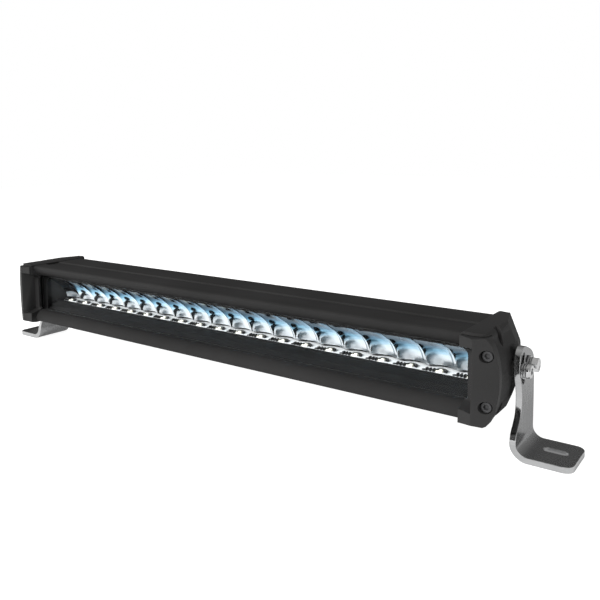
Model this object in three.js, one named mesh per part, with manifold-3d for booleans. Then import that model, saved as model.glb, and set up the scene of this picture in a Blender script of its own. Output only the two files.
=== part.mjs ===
// Single-row LED light bar with two swivelling foot brackets.
// Millimetres, +Z up, +X along the bar, the light leaves towards -Y.
// The origin is on the mounting plane, under the middle of the bar.
import * as THREE from "three";
import { mergeVertices } from "three/addons/utils/BufferGeometryUtils.js";
import Module from "manifold-3d";

const wasm = await Module();
wasm.setup();

// ---- driving dimensions (y = 0 is the front of the lips, z = 0 the mid-height of the housing) ----
const CELLS = 20; // optics in the row
const PITCH = 24; // one optic to the next
const ROW = (CELLS * PITCH) / 2; // half length of the optics row
const HALF_H = 30; // half height of the housing
const DEPTH = 65; // lips to fin tips
const BODY_X = 236; // half length of the extruded housing
const CAP_PROUD = 1.7; // end caps stand proud of the housing by this
const CAP_REAR = 68.5; // back of the end caps, behind the fin tips
const CAP_X0 = BODY_X + 0.3; // inner face of an end cap
const CAP_FRONT = -3.3; // front of the caps' visors, forward of the lips
const RIDGE_X = 246; // the end plates are most forward along this ridge
const RIDGE_Y = -8.5;
const ARC_Y = 0.5; // and fall back to this at the outer edge
const LENS_X = 243; // half length of the lens
const LENS_Y = 10.3; // front face of the lens
const LENS_T = 2.8;
const LENS_H = 21.2; // half height of the lens
const WIN_X = 235; // half length of the opening in the bezel
const WIN_TOP = 15.2;
const FOCAL4 = 29.7; // four focal lengths of a reflector
const VERTEX_Y = 49.7; // back of the paraboloid
const AXIS_Z = -13.8; // height of the optical axis
const BOARD_TOP = -14.3;
const REFL_LOW = -11.5; // lower edge of the reflectors
const PIVOT_Y = 46.5;
const PIVOT_Z = 2.2;
const LOCK_R = 12.8; // lock bolt to pivot
const LOCK_A = 186; // its direction round the pivot, degrees from +Y towards +Z
const SWING = 38; // swing each way
const BR_X0 = 261.9; // inner face of a bracket leg
const BR_T = 4.4; // bracket plate
const FOOT_X = 302.8; // outer end of a foot
const FOOT_LOW = -60.2; // underside of the feet
const FOOT_TOP = FOOT_LOW + BR_T;
const FOOT_Y0 = 23.2; // front and back of a foot
const FOOT_Y1 = 63.6;
const SLOT_X = 287; // middle of the foot slot
const SLOT_Y = 45.5;
const SLOT_L = 16.6;
const SLOT_W = 6.6;
const GLAND_X = -150; // cable gland on the back
const VENT_X = 150;
const GAP = 0.3;
const ORIGIN_Y = 32.5; // moves the origin to the middle of the depth

// ---- helpers ----
const V2 = (a) => new THREE.Vector2(a[0], a[1]);
function solid(geometry) {
  const g = geometry.index ? geometry.toNonIndexed() : geometry.clone();
  g.deleteAttribute("normal");
  g.deleteAttribute("uv");
  const m = mergeVertices(g, 1e-4);
  return new wasm.Manifold(
    new wasm.Mesh({
      numProp: 3,
      vertProperties: m.attributes.position.array,
      triVerts: new Uint32Array(m.index.array),
    }),
  );
}
function back(s) {
  const m = s.getMesh();
  const v = new Float32Array(m.numVert * 3);
  for (let i = 0; i < m.numVert; i++)
    v.set(m.vertProperties.subarray(i * m.numProp, i * m.numProp + 3), i * 3);
  const g = new THREE.BufferGeometry();
  g.setAttribute("position", new THREE.BufferAttribute(v, 3));
  g.setIndex(new THREE.BufferAttribute(new Uint32Array(m.triVerts), 1));
  return g;
}
const PERM = {
  // local x, y, z of an extrusion to the axes it stands for
  X: new THREE.Matrix4().set(0, 0, 1, 0, 1, 0, 0, 0, 0, 1, 0, 0, 0, 0, 0, 1),
  Y: new THREE.Matrix4().set(0, 1, 0, 0, 0, 0, 1, 0, 1, 0, 0, 0, 0, 0, 0, 1),
  Z: new THREE.Matrix4(),
};
// prism("X", [[y, z]...], x0, x1); prism("Y", [[z, x]...], y0, y1); prism("Z", [[x, y]...], z0, z1)
function prism(axis, points, a, b) {
  const g = new THREE.ExtrudeGeometry(new THREE.Shape(points.map(V2)), {
    depth: b - a,
    bevelEnabled: false,
    curveSegments: 12,
  });
  g.translate(0, 0, a);
  g.applyMatrix4(PERM[axis]);
  return solid(g);
}
function block(x0, x1, y0, y1, z0, z1) {
  const g = new THREE.BoxGeometry(x1 - x0, y1 - y0, z1 - z0);
  g.translate((x0 + x1) / 2, (y0 + y1) / 2, (z0 + z1) / 2);
  return solid(g);
}
// A round bar along X, Y or Z from a to b, centred on (p, q) of the other two axes in the order y,z / x,z / x,y.
function rod(axis, r, p, q, a, b, seg = 24, r2 = r) {
  const g = new THREE.CylinderGeometry(r2, r, b - a, seg);
  g.translate(0, (a + b) / 2, 0);
  if (axis === "X") g.rotateZ(-Math.PI / 2).translate(0, p, q);
  if (axis === "Y") g.translate(p, 0, q);
  if (axis === "Z") g.rotateX(Math.PI / 2).translate(p, q, 0);
  return solid(g);
}
function ring(axis, ro, ri, p, q, a, b, seg = 24) {
  return rod(axis, ro, p, q, a, b, seg).subtract(
    rod(axis, ri, p, q, a - 1, b + 1, Math.max(seg, 20)),
  );
}
function arc(cx, cy, r, a0, a1, n) {
  const out = [];
  for (let i = 0; i <= n; i++) {
    const t = ((a0 + ((a1 - a0) * i) / n) * Math.PI) / 180;
    out.push([cx + r * Math.cos(t), cy + r * Math.sin(t)]);
  }
  return out;
}
// Rounded rectangle, counter-clockwise; r holds the radii of the corners (x1,y1), (x0,y1), (x0,y0), (x1,y0).
function roundRect(x0, x1, y0, y1, r, n = 4) {
  const [a, b, c, d] = typeof r === "number" ? [r, r, r, r] : r;
  return [
    ...arc(x1 - a, y1 - a, a, 0, 90, n),
    ...arc(x0 + b, y1 - b, b, 90, 180, n),
    ...arc(x0 + c, y0 + c, c, 180, 270, n),
    ...arc(x1 - d, y0 + d, d, 270, 360, n),
  ];
}
const flip = (pts) => pts.map(([p, q]) => [q, p]);
const group = new THREE.Group();
function add(name, s, colour, roughness, metalness) {
  const mesh = new THREE.Mesh(
    s instanceof THREE.BufferGeometry ? s : back(s),
    new THREE.MeshStandardMaterial({ color: colour, roughness, metalness }),
  );
  mesh.name = name;
  group.add(mesh);
  return mesh;
}
// The same solid on the left-hand side.
const mirror = (s) => s.mirror([1, 0, 0]);
function pair(name, s, colour, roughness, metalness) {
  add(name.replace("#", "right"), s, colour, roughness, metalness);
  add(name.replace("#", "left"), mirror(s), colour, roughness, metalness);
}

// ---- lips: the rounded front edges of the housing, carried on by the end plates ----
const LIP_IN = [
  [10, 18.8],
  [7.4, 19.2],
  [5.1, 20.2],
  [3.0, 21.8],
  [1.3, 23.8],
  [0.35, 25.8],
  [0, 27.6],
];
const LIP_OUT = [
  [0.3, 28.8],
  [1.2, 29.6],
  [2.6, HALF_H],
];
const down = (pts) => pts.map(([y, z]) => [y, -z]).reverse();

// ---- housing: one extrusion with a shelf for the board and fins on the back ----
{
  const top = [
    ...LIP_IN,
    ...LIP_OUT,
    [15.2, HALF_H],
    [16.4, HALF_H - 1.3],
    [32, HALF_H - 1.3],
    [33.2, HALF_H],
    [61.5, HALF_H],
    [63.6, HALF_H - 0.8],
  ];
  const fins = [];
  const rows = [25.6, 17.1, 8.55, 0, -8.55, -17.1, -25.6];
  rows.forEach((z, i) => {
    const t = i === 0 ? 3.2 : 1.3;
    const b = i === rows.length - 1 ? 3.2 : 1.3;
    if (i > 0) fins.push([58.5, z + 2.1], [DEPTH, z + 1.1]);
    else fins.push([DEPTH, z + 1.6]);
    if (i < rows.length - 1) fins.push([DEPTH, z - 1.1], [58.5, z - 2.1]);
    else fins.push([DEPTH, z - 1.6]);
  });
  const inner = [
    [10, -21.5],
    [17.4, -21.5],
    [17.4, -26.4],
    [55.6, -26.4],
    [55.6, -19.4],
    [34.2, -19.4],
    [34.2, -16.1],
    [55.6, -16.1],
    [55.6, 26.4],
    [17.4, 26.4],
    [17.4, 21.5],
    [10, 21.5],
  ];
  const outline = [...top, ...fins, ...down(top), ...inner];
  let s = prism("X", outline, -BODY_X, BODY_X);
  // holes for the cable gland and the vent through the back wall, with a flat cut in the fins
  for (const [x, r, flat] of [
    [GLAND_X, 6.3, 12],
    [VENT_X, 4.3, 8.5],
  ]) {
    s = s.subtract(block(x - flat, x + flat, 59, 70, -flat, flat));
    s = s.subtract(rod("Y", r, x, 0, 50, 70, 20));
  }
  add("housing", s, 0x161718, 0.55, 0.35);
}

// ---- lens, its seal and the bezel behind it ----
add(
  "front_lens",
  prism(
    "Y",
    flip(roundRect(-LENS_X, LENS_X, -LENS_H, LENS_H, 2, 3)),
    LENS_Y,
    LENS_Y + LENS_T,
  ),
  0xdfe6ea,
  0.04,
  0,
);
add(
  "lens_seal",
  prism(
    "Y",
    flip(roundRect(-LENS_X, LENS_X, -LENS_H, LENS_H, 2, 3)),
    LENS_Y + LENS_T + GAP,
    LENS_Y + LENS_T + GAP + 1.5,
  ).subtract(
    prism("Y", flip(roundRect(-240.5, 240.5, -18.9, 18.9, 2, 3)), 10, 20),
  ),
  0x0c0c0d,
  0.85,
  0,
);
const BEZ_Y = LENS_Y + LENS_T + GAP + 1.5 + GAP; // front of the bezel
{
  const X1 = 241.8;
  const opening = roundRect(-WIN_X, WIN_X, -30, WIN_TOP, [5, 5, 0.5, 0.5], 5);
  let s = prism(
    "Y",
    flip([
      [-X1, -20.8],
      [X1, -20.8],
      [X1, 20.8],
      [-X1, 20.8],
    ]),
    BEZ_Y,
    BEZ_Y + 1.2,
  ).subtract(prism("Y", flip(opening), BEZ_Y - 1, BEZ_Y + 3));
  // the stepped floor rises from behind the lens to the front of the board
  const floor = [
    [BEZ_Y, -20.8],
    [BEZ_Y + 2.4, -20.8],
    [22.6, -18.0],
    [31.6, -15.6],
    [33.6, -13.9],
    [33.2, -12.6],
    [31.2, -14.2],
    [22.2, -16.6],
    [BEZ_Y, -20.1],
  ];
  s = s.add(prism("X", floor, -X1, X1));
  // end walls beside the first and the last optic
  const cheek = [
    [BEZ_Y, -20.8],
    [33.6, -13.9],
    [47, -13.9],
    [47, 17.6],
    [BEZ_Y, 17.6],
  ];
  for (const m of [-1, 1]) {
    const w = prism("X", cheek, ROW + 0.5, X1);
    s = s.add(m > 0 ? w : mirror(w));
  }
  add("inner_bezel", s, 0x0d0d0e, 0.45, 0.05);
}

// ---- optics: four mouldings of five half-paraboloid mirrors each ----
{
  const dish = [];
  const N = 7;
  const y1 = 8;
  for (let i = 0; i <= N; i++) {
    const k = i / N;
    const y = VERTEX_Y - (VERTEX_Y - y1) * k * k;
    dish.push([Math.sqrt(FOCAL4 * (VERTEX_Y - y)), y]);
  }
  dish[0][0] = 0;
  dish.push([0, y1]);
  dish.reverse(); // the profile runs from the front centre out and back to the vertex
  const bowl = () => {
    const g = new THREE.LatheGeometry(dish.map(V2), 28);
    return solid(g);
  };
  const probe = bowl();
  const good = probe.volume() > 0;
  const bowlAt = (x) => {
    const pts = good ? dish : dish.slice().reverse();
    const g = new THREE.LatheGeometry(pts.map(V2), 28);
    g.translate(x, 0, AXIS_Z);
    return solid(g);
  };
  const skin = [];
  for (let i = 0; i <= 8; i++) {
    const y = 17.2 + (50.6 - 17.2) * (1 - (1 - i / 8) ** 2);
    const z = AXIS_Z + Math.sqrt(FOCAL4 * (VERTEX_Y + 2 - y)) + 1.2;
    if (z > 17.6) continue;
    if (!skin.length) {
      const t = 17.6 - AXIS_Z - 1.2;
      skin.push([17.2, 17.6], [VERTEX_Y + 2 - (t * t) / FOCAL4, 17.6]);
    }
    skin.push([y, z]);
  }
  const section = [
    [17.2, REFL_LOW],
    ...skin,
    [52.2, -9],
    [54.6, -10],
    [54.6, BOARD_TOP + GAP],
    [51.4, BOARD_TOP + GAP],
    [51.4, REFL_LOW],
  ];
  const per = CELLS / 4;
  for (let m = 0; m < 4; m++) {
    const x0 = -ROW + m * per * PITCH;
    let s = prism("X", section, x0 + 0.15, x0 + per * PITCH - 0.15);
    for (let c = 0; c < per; c++)
      s = s.subtract(bowlAt(x0 + (c + 0.5) * PITCH));
    add("reflector_" + (m + 1), s, 0xe9eef2, 0.08, 0.95);
  }
}

// ---- board with one LED under each optic ----
add(
  "led_board",
  block(-ROW + 2, ROW - 2, 34.4, 55.2, BOARD_TOP - 1.5, BOARD_TOP),
  0xeceeee,
  0.5,
  0,
);
for (let i = 0; i < CELLS; i++) {
  const x = -ROW + (i + 0.5) * PITCH;
  const y = VERTEX_Y - FOCAL4 / 4;
  add(
    "led_" + String(i + 1).padStart(2, "0"),
    block(x - 2.5, x + 2.5, y - 2.5, y + 2.5, BOARD_TOP + GAP, BOARD_TOP + 1.2),
    0xd9c65a,
    0.4,
    0,
  );
}
// driver under the shelf
{
  let s = block(-90, 10, 22, 52, -24.6, -23.2);
  s = s.add(rod("Z", 5, -70, 38, -23.5, -20.2, 16));
  s = s.add(block(-50, -38, 30, 42, -23.5, -20.4));
  s = s.add(block(-20, -8, 28, 40, -23.5, -21));
  add("driver_board", s, 0x1f5c33, 0.6, 0);
}

// ---- end caps ----
// outline of the bulging outer side, from the top down: [x, z]
const SIDE = [
  [254.0, 29.4],
  [257.0, 24.6],
  [259.4, 18.6],
  [261.1, 11.4],
  [261.9, 3.8],
  [261.8, -5.4],
  [260.8, -14.0],
  [259.0, -21.6],
  [255.4, -29.2],
];
{
  // face plate: a slanted face with a ridge, and a recess inward of the ridge that ends at the lens
  const F = CAP_FRONT;
  const outline = [
    [CAP_X0, 29.4],
    ...SIDE,
    [251, -31.2],
    [CAP_X0, -31.6],
  ];
  let plate = prism("Y", flip(outline), RIDGE_Y - 2, 9.7).intersect(
    prism(
      "Z",
      [
        [CAP_X0 - 1, -4.7],
        [239.3, -5.7],
        [243.6, -7.3],
        [RIDGE_X, RIDGE_Y],
        [262.9, ARC_Y],
        [262.9, 4.5],
        [255, 4.5],
        [249, 9.7],
        [CAP_X0 - 1, 9.7],
      ],
      -40,
      40,
    ),
  );
  const recess = [
    [RIDGE_Y - 4, 24.1],
    [RIDGE_Y, 22.7],
    [1, 20.2],
    [7, 17.5],
    [7, -18.2],
    [1, -20.0],
    [RIDGE_Y, -21.5],
    [RIDGE_Y - 4, -22.3],
  ];
  plate = plate.subtract(
    prism("X", recess, 235, 270).intersect(
      prism(
        "Z",
        [
          [235, -14],
          [RIDGE_X + 0.6, -14],
          [RIDGE_X, RIDGE_Y + 0.2],
          [RIDGE_X - 0.9, 8],
          [235, 8],
        ],
        -40,
        40,
      ),
    ),
  );
  // window over the end of the lens
  plate = plate.subtract(
    prism("Y", flip(roundRect(230, 238.6, -17.4, 16.9, 2)), 5, 12),
  );
  // the lower and the upper front edge
  plate = plate.subtract(
    prism(
      "X",
      [
        [RIDGE_Y - 4, -28.2],
        [RIDGE_Y, -29.3],
        [-4, -30.7],
        [0, -31.4],
        [1.5, -32.5],
        [RIDGE_Y - 4, -34],
      ],
      230,
      270,
    ),
  );
  plate = plate.subtract(
    prism(
      "X",
      [
        [RIDGE_Y - 4, 27.4],
        [RIDGE_Y, 28.6],
        [-5, 29.2],
        [-3, 29.5],
        [RIDGE_Y - 4, 34],
      ],
      230,
      270,
    ),
  );
  // counterbores and screw holes
  for (const z of [17.4, -16.9]) {
    plate = plate.subtract(rod("Y", 4.15, 254.3, z, RIDGE_Y - 1, 1.6, 20));
    plate = plate.subtract(rod("Y", 2.3, 254.3, z, 0, 12, 12));
  }
  pair("end_plate_#", plate, 0x17181a, 0.5, 0.3);

  // cap body: the side bulges a little less than the face plate and tapers towards the back
  const wide = [
    [250, HALF_H + CAP_PROUD],
    [253.2, HALF_H + 0.8],
    [254.2, 29],
    ...SIDE.slice(1, -1).map(([x, z]) => [x - 2.2, z]),
    [254.0, -29.2],
    [251, -HALF_H - CAP_PROUD],
  ];
  const TAPER_Y = 44;
  const body = [
    [CAP_X0, HALF_H + 0.3],
    [CAP_X0 + 2.4, HALF_H + CAP_PROUD],
    ...wide,
    [CAP_X0 + 2.4, -HALF_H - CAP_PROUD],
    [CAP_X0, -HALF_H - 0.3],
  ];
  let cap = prism("Y", flip(body), F - 0.6, TAPER_Y);
  {
    const g = new THREE.ExtrudeGeometry(new THREE.Shape(flip(body).map(V2)), {
      depth: CAP_REAR - TAPER_Y,
      bevelEnabled: false,
    });
    const p = g.getAttribute("position");
    for (let i = 0; i < p.count; i++)
      if (p.getZ(i) > 1 && p.getY(i) > 249) {
        const h = p.getX(i) / HALF_H;
        p.setY(i, p.getY(i) - 2.2 - 3 * (1 - Math.min(1, h * h)));
        p.setX(i, p.getX(i) * 0.985);
      }
    g.translate(0, 0, TAPER_Y);
    g.applyMatrix4(PERM.Y);
    cap = cap.add(solid(g));
  }
  // room for the face plate
  cap = cap.subtract(
    prism(
      "Z",
      [
        [230, -9],
        [270, -9],
        [270, 4.8],
        [255.2, 4.8],
        [249.2, 10],
        [230, 10],
      ],
      -40,
      29.7,
    ),
  );
  // the visor over the face plate drops away towards its outer end
  cap = cap.intersect(
    prism(
      "Z",
      [
        [CAP_X0 - 1, F + 1.4],
        [239.5, F + 0.3],
        [246.5, F - 0.2],
        [251, F + 1.2],
        [253.6, F + 4.6],
        [254.8, 4.6],
        [262.9, 4.6],
        [262.9, DEPTH + 3],
        [CAP_X0 - 1, DEPTH + 3],
      ],
      -40,
      40,
    ),
  );
  // pocket for the ends of the lens, the optics and the board
  cap = cap.subtract(
    prism(
      "Y",
      flip([
        [CAP_X0 - 2, -21.5],
        [243.6, -21.5],
        [243.6, 21.5],
        [CAP_X0 - 2, 21.5],
      ]),
      0,
      57,
    ),
  );
  // chamfers at the rear outer corners, above and below
  for (const m of [1, -1]) {
    const p = new THREE.Vector3(254, 41, m * 28.9);
    const q = new THREE.Vector3(256.6, 57.5, m * 12.6);
    const r = new THREE.Vector3(249, 68.5, m * 24);
    const n = q.clone().sub(p).cross(r.sub(p)).normalize();
    if (n.x < 0) n.negate();
    const g = new THREE.BoxGeometry(80, 80, 30);
    g.translate(0, 0, 15);
    g.applyQuaternion(
      new THREE.Quaternion().setFromUnitVectors(new THREE.Vector3(0, 0, 1), n),
    );
    g.translate(p.x, p.y, p.z);
    cap = cap.subtract(solid(g));
  }
  // flat the bracket lies over
  cap = cap.subtract(block(257.2, 270, 31.5, 70, -24, 16.5));
  // tapered notches in the upper and lower outer edges
  const notch = (m) => {
    const pts = [
      [16.4, 40],
      [16.4, 26],
      [18.2, 20.6],
      [20.2, 19.2],
      [22.2, 20.6],
      [24.0, 26],
      [24.0, 40],
    ].map(([y, z]) => [y, m * z]);
    const slope = prism(
      "Y",
      [
        [m * 45, 249.5],
        [m * 29, 251],
        [m * 19.5, 254.8],
        [m * 18, 270],
        [m * 45, 270],
      ],
      10.5,
      30,
    );
    return prism("X", pts, 245, 270).intersect(slope);
  };
  cap = cap.subtract(notch(1)).subtract(notch(-1));
  // bosses that carry the bracket, with threaded holes for both bolts
  const la = (LOCK_A * Math.PI) / 180;
  const lock = [
    PIVOT_Y + LOCK_R * Math.cos(la),
    PIVOT_Z + LOCK_R * Math.sin(la),
  ];
  cap = cap.add(rod("X", 8.5, PIVOT_Y, PIVOT_Z, 252, BR_X0 - GAP, 24));
  cap = cap.add(rod("X", 5.2, lock[0], lock[1], 252, BR_X0 - GAP, 20));
  cap = cap.subtract(rod("X", 3.3, PIVOT_Y, PIVOT_Z, 247, 270, 16));
  cap = cap.subtract(rod("X", 3.3, lock[0], lock[1], 247, 270, 16));
  // screw holes behind the face plate
  for (const z of [17.4, -16.9])
    cap = cap.subtract(rod("Y", 2.3, 254.3, z, 4, 15.6, 12));
  pair("end_cap_#", cap, 0x141516, 0.6, 0.25);

  // face screws with a socket in the head
  for (const [tag, z] of [
    ["upper", 17.4],
    ["lower", -16.9],
  ]) {
    let s = rod("Y", 3.7, 254.3, z, -2.6, 1.3, 20);
    s = s.add(rod("Y", 1.95, 254.3, z, 1, 14.6, 12));
    s = s.subtract(rod("Y", 1.9, 254.3, z, -6, -0.6, 6));
    pair("plate_screw_#_" + tag, s, 0x222325, 0.4, 0.8);
  }

  // ---- bracket ----
  const leg = [
    [FOOT_Y0, -70],
    [FOOT_Y0, -50],
    [24.0, -45],
    [26.0, -41],
    [29.6, -37],
    [32.6, -33],
    [34.2, -29],
    [34.9, -24],
    [34.5, -17],
    [32.8, -11],
    [30.6, -6],
    [28.8, -1.5],
    [27.9, 3],
    [28.0, 7],
    [29.0, 11],
    [30.9, 14.2],
    [34.0, 16.4],
    [38, 16.7],
    [43, 15.2],
    [49.6, 12.6],
    [54.6, 10],
    [58.2, 6.8],
    [60.2, 3],
    [61.0, -3],
    [62.2, -14],
    [63.0, -29],
    [63.4, -41],
    [FOOT_Y1, -48],
    [FOOT_Y1, -70],
  ];
  const rOut = 12.5;
  const zb = FOOT_LOW;
  const ell = [
    [BR_X0, 40],
    [BR_X0, zb + rOut],
    ...arc(BR_X0 + rOut, zb + rOut, rOut, 180, 270, 7).slice(1),
    [FOOT_X, zb],
    [FOOT_X, FOOT_TOP],
    ...arc(BR_X0 + rOut, zb + rOut, rOut - BR_T, 270, 180, 7),
    [BR_X0 + BR_T, 40],
  ];
  let br = prism("Y", flip(ell), 0, 80)
    .intersect(prism("X", leg, 255, FOOT_X + 5))
    .intersect(
      prism(
        "Z",
        roundRect(250, FOOT_X, FOOT_Y0, FOOT_Y1, [7, 0.1, 0.1, 7], 5),
        -70,
        40,
      ),
    );
  const slotArc = (r, h, a0, a1) => [
    ...arc(PIVOT_Y, PIVOT_Z, r + h, a0, a1, 10),
    ...arc(
      PIVOT_Y + r * Math.cos((a1 * Math.PI) / 180),
      PIVOT_Z + r * Math.sin((a1 * Math.PI) / 180),
      h,
      a1,
      a1 + 180,
      5,
    ).slice(1, -1),
    ...arc(PIVOT_Y, PIVOT_Z, r - h, a1, a0, 10),
    ...arc(
      PIVOT_Y + r * Math.cos((a0 * Math.PI) / 180),
      PIVOT_Z + r * Math.sin((a0 * Math.PI) / 180),
      h,
      a0 - 180,
      a0,
      5,
    ).slice(1, -1),
  ];
  br = br.subtract(
    prism(
      "X",
      slotArc(LOCK_R, 3.3, LOCK_A - SWING - 1, LOCK_A + SWING + 1),
      255,
      275,
    ),
  );
  br = br.subtract(rod("X", 3.3, PIVOT_Y, PIVOT_Z, 255, 275, 16));
  br = br.subtract(
    prism(
      "Z",
      roundRect(
        SLOT_X - SLOT_L / 2,
        SLOT_X + SLOT_L / 2,
        SLOT_Y - SLOT_W / 2,
        SLOT_Y + SLOT_W / 2,
        SLOT_W / 2 - 0.02,
        5,
      ),
      -70,
      -40,
    ),
  );
  pair("bracket_#", br, 0xb9bcbe, 0.25, 1.0);

  // ---- bolts with a flat washer and a spring washer each ----
  for (const [tag, y, z, turn] of [
    ["pivot", PIVOT_Y, PIVOT_Z, 12],
    ["lock", lock[0], lock[1], 0],
  ]) {
    const a = BR_X0 + BR_T + GAP;
    pair(
      "flat_washer_#_" + tag,
      ring("X", 5.9, 3.3, y, z, a, a + 1.1, 24),
      0xc8cacb,
      0.28,
      1,
    );
    const b = a + 1.1 + GAP;
    const split = ring("X", 5.0, 3.3, y, z, b, b + 1.2, 24).subtract(
      block(b - 1, b + 3, y - 0.35, y + 0.35, z, z + 8),
    );
    pair("spring_washer_#_" + tag, split, 0xa9abad, 0.3, 1);
    const c = b + 1.2 + GAP;
    let s;
    if (tag === "pivot") {
      const hex = new THREE.CylinderGeometry(5.6, 5.6, 4, 6);
      hex.rotateZ(-Math.PI / 2);
      hex.rotateX((turn * Math.PI) / 180);
      hex.translate(c + 2, y, z);
      s = solid(hex).intersect(rod("X", 6.3, y, z, c - 1, c + 4.1, 24, 5.0));
    } else {
      s = rod("X", 5.1, y, z, c, c + 2, 24).add(
        rod("X", 5.1, y, z, c + 2, c + 3.2, 24, 3.9),
      );
      s = s.subtract(rod("X", 2.3, y, z, c + 1.2, c + 6, 6));
    }
    s = s.add(rod("X", 2.95, y, z, 247.6, c + 0.5, 16));
    pair(tag + "_bolt_#", s, 0xc4c6c8, 0.22, 1);
  }
}

// ---- back: cable gland and vent ----
{
  const X = GLAND_X;
  let s = ring("Y", 9.6, 3.4, X, 0, 59.3, 63.4, 6);
  s = s.add(ring("Y", 7.0, 3.4, X, 0, 63, 69.5, 20));
  s = s.add(ring("Y", 5.9, 3.4, X, 0, 52.4, 59.6, 20));
  add("gland_body", s, 0x101011, 0.6, 0);
  let n = ring("Y", 9.2, 7.3, X, 0, 64, 70.2, 6);
  n = n.add(ring("Y", 8.2, 3.7, X, 0, 69.9, 73.5, 20));
  add("gland_nut", n, 0x131314, 0.55, 0);
  let v = rod("Y", 7.4, VENT_X, 0, 59.3, 62.2, 20);
  v = v.add(rod("Y", 3.9, VENT_X, 0, 53.5, 59.6, 16));
  add("vent_plug", v, 0x1a1a1b, 0.7, 0);
}

group.position.set(0, -ORIGIN_Y, -FOOT_LOW);
export default group;
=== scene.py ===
import math

import bmesh
import bpy
from mathutils import Matrix, Vector


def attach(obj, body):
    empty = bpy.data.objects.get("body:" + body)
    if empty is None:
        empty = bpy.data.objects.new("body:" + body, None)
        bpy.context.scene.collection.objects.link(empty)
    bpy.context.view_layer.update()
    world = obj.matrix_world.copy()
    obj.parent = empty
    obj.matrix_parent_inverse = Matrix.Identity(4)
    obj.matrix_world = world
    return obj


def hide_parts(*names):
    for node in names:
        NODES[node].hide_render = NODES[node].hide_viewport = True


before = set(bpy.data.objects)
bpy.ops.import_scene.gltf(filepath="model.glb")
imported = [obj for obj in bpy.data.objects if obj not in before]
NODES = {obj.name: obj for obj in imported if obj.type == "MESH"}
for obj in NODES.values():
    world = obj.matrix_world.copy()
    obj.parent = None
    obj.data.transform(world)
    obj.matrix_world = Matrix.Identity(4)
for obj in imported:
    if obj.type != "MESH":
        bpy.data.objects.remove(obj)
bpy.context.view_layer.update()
OY, OZ = 32.5, 60.2


def pt(x, y, z):
    return Vector((x / 1000, (y - OY) / 1000, (z + OZ) / 1000))


# ---------------------------------------------------------------- camera
YAW, PITCH, ROLL = math.radians(37.13), math.radians(6.76), math.radians(-0.60)
fwd = Vector((-math.sin(YAW) * math.cos(PITCH), math.cos(YAW) * math.cos(PITCH), -math.sin(PITCH)))
right = Vector((math.cos(YAW), math.sin(YAW), 0))
up = right.cross(fwd)
r2 = math.cos(ROLL) * right + math.sin(ROLL) * up
u2 = -math.sin(ROLL) * right + math.cos(ROLL) * up
cam_data = bpy.data.cameras.new("camera")
cam = bpy.data.objects.new("camera", cam_data)
bpy.context.scene.collection.objects.link(cam)
rot = Matrix((r2, u2, -fwd)).transposed()
cam.matrix_world = Matrix.Translation(pt(404.4, -440.2, 153.4)) @ rot.to_4x4()
cam_data.sensor_width = 36
cam_data.lens = 699.8 * 36 / 600
cam_data.shift_x = (300 - 262.4) / 600
cam_data.shift_y = -(300 - 230.0) / 600
cam_data.clip_start = 0.01
cam_data.clip_end = 50
bpy.context.scene.camera = cam
bpy.context.scene.view_settings.view_transform = "Standard"


# ---------------------------------------------------------------- mesh helpers
def new_obj(name, verts, faces, mm=True):
    me = bpy.data.meshes.new(name)
    me.from_pydata([pt(*v) if mm else v for v in verts], [], faces)
    bm = bmesh.new()
    bm.from_mesh(me)
    bmesh.ops.recalc_face_normals(bm, faces=bm.faces)
    bm.to_mesh(me)
    bm.free()
    ob = bpy.data.objects.new(name, me)
    bpy.context.scene.collection.objects.link(ob)
    return ob


def spline(points, n):
    """Catmull-Rom curve through the points, n steps between neighbours."""
    p = [Vector((a, b, 0)) for a, b in points]
    p = [p[0] * 2 - p[1]] + p + [p[-1] * 2 - p[-2]]
    out = []
    for i in range(1, len(p) - 2):
        for k in range(n):
            t = k / n
            v = 0.5 * ((2 * p[i]) + (p[i + 1] - p[i - 1]) * t
                       + (2 * p[i - 1] - 5 * p[i] + 4 * p[i + 1] - p[i + 2]) * t * t
                       + (3 * p[i] - p[i - 1] - 3 * p[i + 1] + p[i + 2]) * t ** 3)
            out.append((v.x, v.y))
    out.append((p[-2].x, p[-2].y))
    return out


def arc(cx, cy, r, a0, a1, n):
    return [(cx + r * math.cos(math.radians(a0 + (a1 - a0) * i / n)),
             cy + r * math.sin(math.radians(a0 + (a1 - a0) * i / n))) for i in range(n + 1)]


def round_rect(x0, x1, y0, y1, r, n=8):
    a, b, c, d = [r] * 4 if not isinstance(r, (list, tuple)) else r
    return (arc(x1 - a, y1 - a, a, 0, 90, n) + arc(x0 + b, y1 - b, b, 90, 180, n)
            + arc(x0 + c, y0 + c, c, 180, 270, n) + arc(x1 - d, y0 + d, d, 270, 360, n))


def lift(axis, u, v, w):
    """The point whose two coordinates across the axis are u, v and whose place along it is w."""
    return {"X": (w, u, v), "Y": (u, w, v), "Z": (u, v, w)}[axis]


def prism(axis, points, a, b, name="tmp"):
    n = len(points)
    verts = [lift(axis, p[0], p[1], a) for p in points] + [lift(axis, p[0], p[1], b) for p in points]
    faces = [list(range(n))[::-1], list(range(n, 2 * n))]
    faces += [[i, (i + 1) % n, (i + 1) % n + n, i + n] for i in range(n)]
    return new_obj(name, verts, faces)


def block(x0, x1, y0, y1, z0, z1, name="tmp"):
    return prism("Z", [(x0, y0), (x1, y0), (x1, y1), (x0, y1)], z0, z1, name)


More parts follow.
